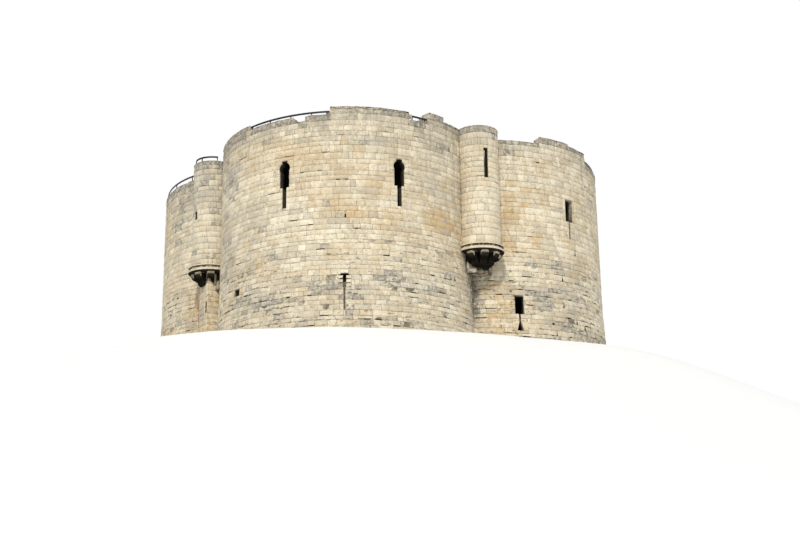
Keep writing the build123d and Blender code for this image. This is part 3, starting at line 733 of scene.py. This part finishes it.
class Wiring:
    """Short words for placing and joining shader nodes in one tree."""

    def __init__(self, tree):
        self.tree = tree

    def feed(self, target, value):
        if isinstance(value, Signal):
            self.tree.links.new(value.socket, target)
        else:
            target.default_value = value

    def node(self, kind, feeds=(), **settings):
        """A new node with its settings, and what goes into its inputs by name or place."""
        made = self.tree.nodes.new(kind)
        for key, value in settings.items():
            setattr(made, key, value)
        for label, value in dict(feeds).items():
            self.feed(made.inputs[label], value)
        return made

    def place(self, kind, output, feeds=(), **settings):
        """The signal of one output of a new node."""
        return Signal(self, self.node(kind, feeds, **settings).outputs[output])

    def signals(self, made):
        """All that a node puts out, by name."""
        return {socket.name: Signal(self, socket) for socket in made.outputs}

    def maths(self, operation, a, b=0.0):
        return self.place("ShaderNodeMath", 0, {0: a, 1: b}, operation=operation)

    def most(self, first, *others):
        for other in others:
            first = self.maths("MAXIMUM", first, other)
        return first

    def length(self, a, b):
        return self.maths("SQRT", a * a + b * b)

    def blend(self, share, a, b):
        return self.place("ShaderNodeMix", 2, {0: share, 6: a, 7: b}, data_type="RGBA", clamp_factor=True)

    def noise(self, vector, scale, detail=3.0, rough=0.55):
        feeds = {"Vector": vector, "Scale": scale, "Detail": detail, "Roughness": rough}
        return self.place("ShaderNodeTexNoise", "Fac", feeds)

    def spread(self, value, low, high, to_low=0.0, to_high=1.0):
        """Carries low to to_low and high to to_high in a smooth step, and holds both beyond them."""
        feeds = {"Value": value, "From Min": low, "From Max": high, "To Min": to_low, "To Max": to_high}
        return self.place("ShaderNodeMapRange", "Result", feeds, interpolation_type="SMOOTHSTEP")

    def stretch(self, vector, scale):
        return self.place("ShaderNodeMapping", "Vector", {"Vector": vector, "Scale": scale})

    def parts(self, signal, kind="XYZ"):
        """The three numbers of a vector or a colour."""
        return [Signal(self, socket) for socket in self.node(f"ShaderNodeSeparate{kind}", {0: signal}).outputs]

    def tones(self):
        """The three parts of the tones that every point of a piece carries."""
        return self.parts(self.place("ShaderNodeAttribute", "Color", attribute_name="tones"), "Color")

    def group(self, tree, **values):
        """All that a group puts out for the given inputs. An underscore stands for a space in an input's name."""
        feeds = {label.replace("_", " "): value for label, value in values.items()}
        return self.signals(self.node("ShaderNodeGroup", feeds, node_tree=tree))

    def give(self, **values):
        """Feeds the outputs of the group whose tree this is."""
        for label, value in values.items():
            self.feed(self.tree.nodes["Group Output"].inputs[label], value)


def new_group(name, takes, gives):
    """A shader node group: its tree, its wiring and its inputs as signals.

    Its inputs are a vector, and a number or a colour for each name in takes, which holds the starting values.
    gives names its outputs: Color is a colour, and the others are numbers.
    """
    tree = bpy.data.node_groups.new(name, "ShaderNodeTree")
    tree.interface.new_socket("Vector", in_out="INPUT", socket_type=VECTOR)
    for label, value in takes.items():
        kind = NUMBER if isinstance(value, float) else COLOUR
        tree.interface.new_socket(label, in_out="INPUT", socket_type=kind).default_value = value
    for label in gives:
        tree.interface.new_socket(label, in_out="OUTPUT", socket_type=COLOUR if label == "Color" else NUMBER)
    w = Wiring(tree)
    w.node("NodeGroupOutput")
    return tree, w, w.signals(w.node("NodeGroupInput"))


# Limestone: each stone's own shade, grey and warm staining broken by noise, small pits
limestone_group, w, take = new_group(
    "limestone_tones",
    {"Shade": 0.5, "Grey": 0.3, "Warm": 0.2, "Pale colour": CREAM, "Deep colour": CREAM_DARK}
    | {"Grey colour": GREY, "Crust colour": DARK_GREY, "Warm colour": OCHRE},
    ("Color", "Roughness", "Height"),
)
where = take["Vector"]
cloud = w.noise(where, 1.1, 4.0)
mottle = w.noise(where, 7.0, 4.0, 0.62)
grain = w.noise(where, 45.0, 3.0, 0.7)
blotch = w.noise(where, 2.6, 5.0, 0.68)
broad = w.noise(where, 0.45, 3.0)
shade = take["Shade"] * 0.32 + mottle * 0.95 + (cloud + broad) * 0.45
colour = w.blend(w.spread(shade, 0.72, 1.48), take["Pale colour"], take["Deep colour"])
colour = w.blend(w.spread(blotch, 0.53, 0.70, 0.0, 0.42), colour, (0.40, 0.345, 0.25, 1))
smudge = w.noise(w.stretch(where, (1.0, 1.0, 1.35)), 0.8, 5.0, 0.66)
colour = w.blend(w.spread(smudge, 0.52, 0.66, 0.0, 0.5), colour, TAN)
colour = w.blend(take["Warm"] * w.spread(cloud + mottle, 0.75, 1.15, 0.3, 1.0), colour, take["Warm colour"])
colour = w.blend(take["Grey"] * w.spread(mottle + cloud, 0.65, 1.15, 0.35, 1.0), colour, take["Grey colour"])
crust = w.spread(take["Grey"], 0.62, 1.0) * w.spread(mottle, 0.42, 0.62)
colour = w.blend(crust * 0.6, colour, take["Crust colour"])
pits = w.spread(w.noise(where, 26.0, 2.0, 0.5), 0.30, 0.40, 1.0, 0.0)
colour = w.blend(pits * 0.62, colour, take["Crust colour"])
# dark flecks low on the walls: painted shade of small holes, and dirt
fleck = w.spread(w.noise(w.stretch(where, (3.0, 3.0, 8.5)), 1.0, 4.0, 0.72), 0.595, 0.64)
colour = w.blend(fleck * w.spread(w.parts(where)[2], 3.2, 5.2, 0.85, 0.30), colour, DIRT_AND_HOLE_SHADE)
w.give(
    Color=w.blend(w.spread(grain, 0.3, 0.7, 0.0, 0.16), colour, (0.25, 0.2, 0.13, 1)),
    Roughness=w.spread(mottle, 0.3, 0.7, 0.82, 0.95),
    Height=mottle * 0.6 + grain * 0.25 - pits * 0.5,
)

# Rain streaks: noise drawn out downward, strongest near the top of a wall, and dark patches low in the angles between
# the lobes
streak_group, w, take = new_group("rain_streaks", {"Colour": CREAM, "Stain": DARK_GREY, "Strength": 0.5}, ["Color"])
where = take["Vector"]
x, y, height = w.parts(where)
run = w.noise(w.stretch(where, (2.6, 2.6, 0.22)), 1.0, 4.0, 0.6)
share = w.spread(run, 0.5, 0.72) * w.spread(height, 6.8, 10.2) * take["Strength"]
off = w.length(abs(x) - ANGLE_SIDE, abs(y) - ANGLE_SIDE)
angle_darkening = w.spread(off, 0.10, 0.52, 1.0, 0.0) * w.spread(w.noise(where, 5.0, 4.0, 0.7), 0.38, 0.58)
angle_darkening = angle_darkening * w.spread(height, 0.6, 2.2) * w.spread(height, 4.3, 5.0, 0.85, 0.15)
w.give(Color=w.blend(angle_darkening, w.blend(share, take["Colour"], take["Stain"]), (0.09, 0.075, 0.055, 1)))

# Rubble: irregular stones bedded in mortar, for broken ends and the insides of openings
rubble_group, w, take = new_group(
    "rubble_bed", {"Scale": 4.0, "Stone": CREAM_DARK, "Joint": DARK_GREY}, ("Color", "Height")
)
cells = {"Vector": w.stretch(take["Vector"], (0.75, 0.75, 1.5)), "Scale": take["Scale"]}
edge = w.place("ShaderNodeTexVoronoi", "Distance", cells, feature="DISTANCE_TO_EDGE")
cell = w.place("ShaderNodeTexVoronoi", "Color", cells, feature="F1")
mottle = w.noise(take["Vector"], 9.0, 4.0)
tint = w.blend(w.parts(cell, "Color")[0] * 0.6, take["Stone"], (0.30, 0.26, 0.19, 1))
tint = w.blend(w.spread(mottle, 0.35, 0.7, 0.0, 0.4), tint, (0.6, 0.53, 0.4, 1))
joint = w.spread(edge, 0.01, 0.07, 1.0, 0.0)
w.give(Color=w.blend(joint * 0.8, tint, take["Joint"]), Height=w.spread(edge, 0.0, 0.15) + mottle * 0.3)

# Depth in the wall, by which the rubble gets painted shade: one between the outer face of the nearest lobe and the
# face of its bay, nothing at both faces
depth_group, w, take = new_group("depth_in_wall", {}, ("Depth", "Mouth"))
x, y, height = w.parts(take["Vector"])
near = w.maths("MINIMUM", w.length(abs(x) - LOBE_OFFSET, y), w.length(abs(y) - LOBE_OFFSET, x))
inner = w.spread(near, BAY_RADIUS + 0.1, BAY_RADIUS + 1.2) * w.maths("LESS_THAN", height, WALK - 0.08)
w.give(
    Depth=w.spread(near, LOBE_RADIUS - 0.32, LOBE_RADIUS - 0.10, 1.0, 0.0) * inner,
    Mouth=w.spread(near, LOBE_RADIUS - 0.10, LOBE_RADIUS - 0.05, 1.0, 0.0) * inner,
)


def new_material(name):
    """A node material, its wiring and the object's own coordinates."""
    made = bpy.data.materials.new(name)
    made.use_nodes = True
    w = Wiring(made.node_tree)
    return made, w, w.place("ShaderNodeTexCoord", "Object")


def finish(made, w, colour, roughness, height, strength, relief, shine=0.2, metallic=0.0):
    """Feeds the shader. The height bumps the surface with this strength, and up to relief metres deep."""
    shader = made.node_tree.nodes["Principled BSDF"]
    bump = w.place("ShaderNodeBump", "Normal", {"Height": height, "Strength": strength, "Distance": relief})
    feeds = {"Base Color": colour, "Roughness": roughness, "Specular IOR Level": shine, "Metallic": metallic}
    for label, value in (feeds | {"Normal": bump}).items():
        w.feed(shader.inputs[label], value)
    return made


def stone_material(name, streaks, relief, **colours):
    """Cut limestone: the stone's own tones from its attribute, with rain streaks and pits."""
    made, w, where = new_material(name)
    shade, grey, warm = w.tones()
    body = w.group(limestone_group, Vector=where, Shade=shade, Grey=grey, Warm=warm, **colours)
    rain = w.group(streak_group, Vector=where, Colour=body["Color"], Strength=streaks)
    return finish(made, w, rain["Color"], body["Roughness"], body["Height"], 0.6, relief)


def rubble_material(name, scale, stone, joint, relief):
    """Rough bedded stone for mortar cores, broken ends and the sides of openings, with painted shade black deep in the
    wall, and darker with damp in patches low down.

    Here the red part of the tones marks loops whose mouths get painted shade too, and the blue part marks the turrets'
    loops, painted black as shade.
    """
    made, w, where = new_material(name)
    body = w.group(rubble_group, Vector=where, Scale=scale, Stone=stone, Joint=joint)
    deep = w.group(depth_group, Vector=where)
    mouth_shade, _, turret_loop_shade = w.tones()
    low = w.spread(w.parts(where)[2], 2.8, 4.6, 0.62, 0.0) * w.spread(w.noise(where, 1.6, 3.0), 0.42, 0.60)
    # painted shade: black deep in the wall, in marked loop mouths and in the turrets' loops, with the damp patches low
    # down; no sheen where it is dark
    dark = w.most(deep["Depth"], deep["Mouth"] * mouth_shade, w.spread(turret_loop_shade, 0.02, 0.2), low) * 0.94
    shine = w.spread(dark, 0.5, 0.9, 0.2, 0.0)
    return finish(made, w, w.blend(dark, body["Color"], SHADE_AND_DAMP_BLACK), 0.92, body["Height"], 0.8, relief, shine)


def corbel_material():
    """Moulded ring over a hollow painted black as shade with some soot: black fills a funnel under it and the faces
    that look down, and the top noses stay pale.
    """
    made, w, where = new_material("damp_corbel_stone")
    body = w.group(limestone_group, Vector=where, Shade=0.2, Grey=0.2, Warm=0.2)
    x, y, height = w.parts(where)
    above = height - RING_FOOT
    east, north = abs(x) - TURRET_REACH / math.sqrt(2), abs(y) - TURRET_REACH / math.sqrt(2)
    beside = abs(east - north) * (1 / (0.9 * math.sqrt(2)))
    # painted shade with some soot: a funnel under the ring goes black, save the top noses
    lip = w.maths("POWER", beside, 1.6) * 0.62 - 0.86
    funnel = w.spread(above - lip + w.noise(where, 6.0, 3.0) * 0.22, 0.08, 0.16)
    nose = w.spread(w.length(east, north), 0.82, 0.88) * w.spread(above, -0.27, -0.20)
    hollow = funnel * w.maths("LESS_THAN", above, -0.005) * (1.0 - nose)
    # painted shade in the groove of the ring
    recess = w.spread(above, 0.17, 0.20) * w.spread(above, 0.27, 0.29, 1.0, 0.0)
    recess = recess * w.spread(w.noise(where, 9.0), 0.35, 0.6, 0.45, 0.92)
    # painted shade on the faces that look down
    upward = w.parts(w.place("ShaderNodeNewGeometry", "Normal"))[2]
    under = w.spread(upward * -1.0, -0.02, 0.30, 0.0, 0.97) * w.spread(above, -0.88, -0.80)
    foot = w.spread(above, -0.6, -0.25, 0.80, 0.0) * w.spread(w.noise(where, 4.5, 4.0), 0.40, 0.56, 0.45, 1.0)
    # all the painted shade goes to near black, with no sheen where it is dark
    dark = w.most(under, hollow * 0.985, recess, foot)
    colour = w.blend(dark, body["Color"], SHADE_AND_SOOT_BLACK)
    return finish(
        made, w, colour, body["Roughness"], body["Height"], 0.6, 0.02, w.spread(dark, 0.2, 0.9, 0.2, 0.0)
    )


def arch_material():
    """Dressed arch stones of the doorway: joints run out from the arch's middle, and lie level below its spring."""
    made, w, where = new_material("dressed_arch_stone")
    x, _, height = w.parts(where)
    over = height - DOOR_SPRING
    upper = w.maths("GREATER_THAN", over, 0.0)
    around = w.maths("ARCTAN2", over, x) * (13 / math.pi)
    run = around * upper + over * (1 / 0.35) * (1.0 - upper)
    stone = w.maths("FLOOR", run)
    joint = w.spread(abs(run - stone - 0.5), 0.46, 0.485)
    shade = w.place("ShaderNodeTexWhiteNoise", "Value", {"W": stone}, noise_dimensions="1D")
    body = w.group(limestone_group, Vector=where, Shade=shade, Grey=0.3, Warm=0.2)
    colour = w.blend(joint * 0.75, body["Color"], (0.16, 0.13, 0.10, 1))
    return finish(made, w, colour, body["Roughness"], body["Height"] - joint, 0.7, 0.02)


def gap_material():
    """Painted shade inside washed out joints and small holes: near black, with a little dust."""
    made, w, where = new_material("dark_joint")
    dust = w.noise(where, 18.0, 3.0)
    colour = w.blend(w.spread(dust, 0.5, 0.8), (0.012, 0.010, 0.008, 1), (0.06, 0.05, 0.04, 1))
    return finish(made, w, colour, 1.0, dust, 1.0, 0.01, shine=0.0)


def paving_material():
    """Worn rectangular flags: two rows of unlike size, their edges bent by noise."""
    made, w, where = new_material("worn_paving")
    drift = w.place("ShaderNodeTexNoise", "Color", {"Vector": where, "Scale": 1.6})
    small = w.place("ShaderNodeVectorMath", "Vector", {0: drift, "Scale": 0.10}, operation="SCALE")
    bent = w.place("ShaderNodeVectorMath", "Vector", {0: where, 1: small}, operation="ADD")
    feeds = {"Vector": bent, "Color1": (0.0, 0.0, 0.0, 1), "Color2": (1.0, 1.0, 1.0, 1), "Mortar": (0.5, 0.5, 0.5, 1)}
    feeds |= {"Scale": 1.0, "Mortar Size": 0.014, "Mortar Smooth": 0.4, "Brick Width": 0.72, "Row Height": 0.46}
    flags = w.signals(w.node("ShaderNodeTexBrick", feeds, offset=0.37, squash=0.7, squash_frequency=3))
    shade, joint = w.parts(flags["Color"], "Color")[0], flags["Fac"]
    body = w.group(limestone_group, Vector=where, Shade=shade, Grey=0.55, Warm=0.1)
    colour = w.blend(joint * 0.8, body["Color"], DIRT_AND_HOLE_SHADE)
    return finish(made, w, colour, body["Roughness"], body["Height"] - joint, 0.7, 0.02)


def rail_material():
    """Dark painted steel tube with slight wear."""
    made, w, where = new_material("dark_painted_rail")
    wear = w.noise(where, 30.0, 3.0)
    colour = w.blend(w.spread(wear, 0.55, 0.75), (0.012, 0.014, 0.02, 1), (0.06, 0.06, 0.07, 1))
    return finish(made, w, colour, w.spread(wear, 0.3, 0.7, 0.35, 0.55), wear, 0.2, 0.002, shine=0.5, metallic=0.6)


limestone = stone_material("coursed_limestone", 0.45, 0.02)
coping = stone_material(
    "weathered_coping", 0.4, 0.03, Grey_colour=(0.38, 0.35, 0.29, 1), Crust_colour=(0.13, 0.115, 0.09, 1)
)
dressed = stone_material(
    "dressed_limestone", 0.3, 0.012, Pale_colour=(0.85, 0.77, 0.59, 1), Deep_colour=(0.72, 0.63, 0.46, 1)
)
core = rubble_material("mortar_and_rubble", 3.4, (0.50, 0.44, 0.33, 1), (0.34, 0.30, 0.22, 1), 0.03)
paving = paving_material()
corbel_stone = corbel_material()
arch_stone = arch_material()
dark_rail = rail_material()
dark_gap = gap_material()


def new_object(name, data):
    """An object in the scene that holds the mesh, camera or lamp."""
    made = bpy.data.objects.new(name, data)
    bpy.context.scene.collection.objects.link(made)
    return made


def make_piece(node, work, stone, slot):
    """One mesh of a node's stones and mortar core, with its tones as a point attribute."""
    points = np.concatenate(work.points)
    tones = np.concatenate(work.tones)
    mesh = bpy.data.meshes.new(f"{node}_masonry")
    sizes = np.concatenate([np.full(len(f), f.shape[1]) for f in work.faces])
    loops = np.concatenate([f.reshape(-1) for f in work.faces])
    mesh.vertices.add(len(points))
    mesh.vertices.foreach_set("co", points.reshape(-1))
    mesh.loops.add(len(loops))
    mesh.loops.foreach_set("vertex_index", loops.astype(np.int32))
    mesh.polygons.add(len(sizes))
    mesh.polygons.foreach_set("loop_start", np.concatenate([[0], np.cumsum(sizes)[:-1]]).astype(np.int32))
    mesh.polygons.foreach_set("loop_total", sizes.astype(np.int32))
    mesh.polygons.foreach_set("material_index", np.concatenate(work.kinds).astype(np.int32))
    mesh.update(calc_edges=True)
    layer = mesh.attributes.new("tones", "FLOAT_COLOR", "POINT")
    layer.data.foreach_set("color", np.concatenate([tones, np.ones((len(tones), 1))], 1).reshape(-1))
    for material in (stone, core, dark_gap):
        mesh.materials.append(material)
    piece = new_object(f"{node}_masonry", mesh)
    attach(piece, "root")
    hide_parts(node)


# Material and slot of the nodes whose names end with each word
looks = {"wall_walk": (paving, "paving"), "parapet": (coping, "weathered_stone"), "turret": (dressed, "limestone")}
looks |= {"pier": (dressed, "dressed_stone"), "": (limestone, "limestone")}
for node, work in works.items():
    if work.points:
        make_piece(node, work, *next(look for end, look in looks.items() if node.endswith(end)))


def make_corbels(node):
    """The ring and corbels of a turret: the CAD node's own faces, with the free edges of the noses worn round."""
    points, faces = merged(node)
    centres = [*map(lobe_centre, LOBES), polar(TURRET_REACH, TURRETS[node.removesuffix("_corbels")][0])]
    *reaches, reach = (np.hypot(points[:, 0] - x, points[:, 1] - y) for x, y in centres)
    away = np.min([np.abs(each - LOBE_RADIUS) for each in reaches], 0)
    loose = (away > 0.03) & (reach > 0.5) & (points[:, 2] < RING_FOOT + 0.005)
    shape = bmesh.new()
    corners = [shape.verts.new(point) for point in points]
    free = {corner for corner, one in zip(corners, loose) if one}
    for face in faces:
        shape.faces.new([corners[index] for index in face])
    bmesh.ops.dissolve_limit(shape, angle_limit=math.radians(1), verts=shape.verts, edges=shape.edges)
    edges = []
    for edge in shape.edges:
        start, end = edge.verts
        if start not in free or end not in free or min(start.co.z, end.co.z) > RING_FOOT - 0.01:
            continue
        sharp = len(edge.link_faces) == 2 and edge.calc_face_angle_signed() > math.radians(15)
        if sharp and edge.calc_length() > 0.1:
            edges.append(edge)
    bmesh.ops.bevel(shape, geom=edges, offset=NOSE_WEAR, segments=4, profile=0.5, affect="EDGES", clamp_overlap=False)
    bmesh.ops.triangulate(shape, faces=shape.faces)
    mesh = bpy.data.meshes.new(f"{node}_stone")
    shape.to_mesh(mesh)
    shape.free()
    mesh.shade_smooth()
    mesh.set_sharp_from_angle(angle=math.radians(35))
    mesh.materials.append(corbel_stone)
    piece = new_object(f"{node}_stone", mesh)
    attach(piece, "root")
    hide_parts(node)


def dress(node, material):
    """A CAD node that keeps its own mesh gets the material in every slot."""
    mesh = cad[node].data
    mesh.materials.clear()
    mesh.materials.append(material)


for node in cad:
    if node.endswith("_corbels"):
        make_corbels(node)
    elif node.endswith("_rail"):
        dress(node, dark_rail)
    elif node == "ground_floor":
        dress(node, paving)
    elif node == "door_arch":
        dress(node, arch_stone)

# Pale floor that is level under the keep and falls away round it, because the camera stands below the keep's foot.
# brow gives the angles and distances at which it starts to fall
rings, spokes = 90, 240
turn = np.linspace(0, 2 * math.pi, spokes, endpoint=False)
brow = [(-180, 14.7), (-135, 14.7), (-116, 14.5), (-104.5, 13.9), (-94, 13.2), (-82, 12.7), (-71, 12.15), (-60, 11.9)]
brow += [(-43, 12.0), (-34, 12.5), (-22, 13.5), (-7, 14.6), (20, 14.8), (180, 14.7)]
edge = np.interp((np.degrees(turn) + 180) % 360 - 180, *np.array(brow).T)
beyond = np.concatenate([[-40.0, -0.4], np.linspace(0, 1, rings - 2) ** 2.6 * 260])
reach = np.maximum(edge[None, :] + beyond[:, None], 0.0)
fall = np.maximum(beyond, 0)
drop = -0.002 - np.minimum(0.50 * fall**2 / (fall + 1.2), 18.0 - 300.0 / (fall + 20.0) * (fall > 15))
drop = np.where(beyond <= 0, -0.002, drop)
drop = np.minimum.accumulate(drop)
drop = np.repeat(drop[:, None], spokes, 1)
floor_points = np.stack([reach * np.cos(turn), reach * np.sin(turn), drop], -1).reshape(-1, 3)
ring, spoke = np.meshgrid(np.arange(rings - 1), np.arange(spokes), indexing="ij")
near, following = ring * spokes, (spoke + 1) % spokes
far = near + spokes
floor_faces = np.stack([near + spoke, far + spoke, far + following, near + following], -1)
floor_mesh = bpy.data.meshes.new("studio_floor")
floor_mesh.from_pydata(floor_points.tolist(), [], floor_faces.reshape(-1, 4).tolist())
floor_mesh.update()
floor_mesh.polygons.foreach_set("use_smooth", [True] * len(floor_mesh.polygons))
studio_floor = new_object("studio_floor", floor_mesh)
pale = bpy.data.materials.new("pale_floor")
pale.use_nodes = True
shader = pale.node_tree.nodes["Principled BSDF"]
shader.inputs["Base Color"].default_value = (0.80, 0.80, 0.79, 1)
shader.inputs["Roughness"].default_value = 1.0
floor_mesh.materials.append(pale)

# Camera, at the photograph's place: below the keep's foot, looking up
camera_data = bpy.data.cameras.new("camera")
camera_data.lens = 54.0
camera_data.sensor_width = 36.0
camera_data.clip_end = 2000.0
camera = new_object("camera", camera_data)
camera.matrix_world = Matrix.Translation((15.96, -61.24, -11.05))
for degrees, axis in ((13.5, "Z"), (90 + 15.2, "X"), (-0.75, "Z")):
    camera.matrix_world = camera.matrix_world @ Matrix.Rotation(math.radians(degrees), 4, axis)
bpy.context.scene.camera = camera

# One soft sun and an even pale sky
sun_data = bpy.data.lights.new("soft_sun", "SUN")
sun_data.energy = 2.25
sun_data.angle = math.radians(6)
sun_data.color = (1.0, 0.97, 0.92)
sun = new_object("soft_sun", sun_data)
sun.rotation_euler = (math.radians(48), 0, math.radians(6))
world = bpy.data.worlds.new("studio_sky")
bpy.context.scene.world = world
world.use_nodes = True
w = Wiring(world.node_tree)
background = world.node_tree.nodes["Background"]
ray = w.signals(w.node("ShaderNodeLightPath"))
seen = w.most(ray["Is Camera Ray"], ray["Is Glossy Ray"])
w.feed(background.inputs["Color"], w.blend(seen, (0.93, 0.96, 1.0, 1), (1, 1, 1, 1)))
w.feed(background.inputs["Strength"], w.spread(seen, 0.0, 1.0, 0.67, 1.0))
bpy.context.scene.view_settings.view_transform = "Standard"
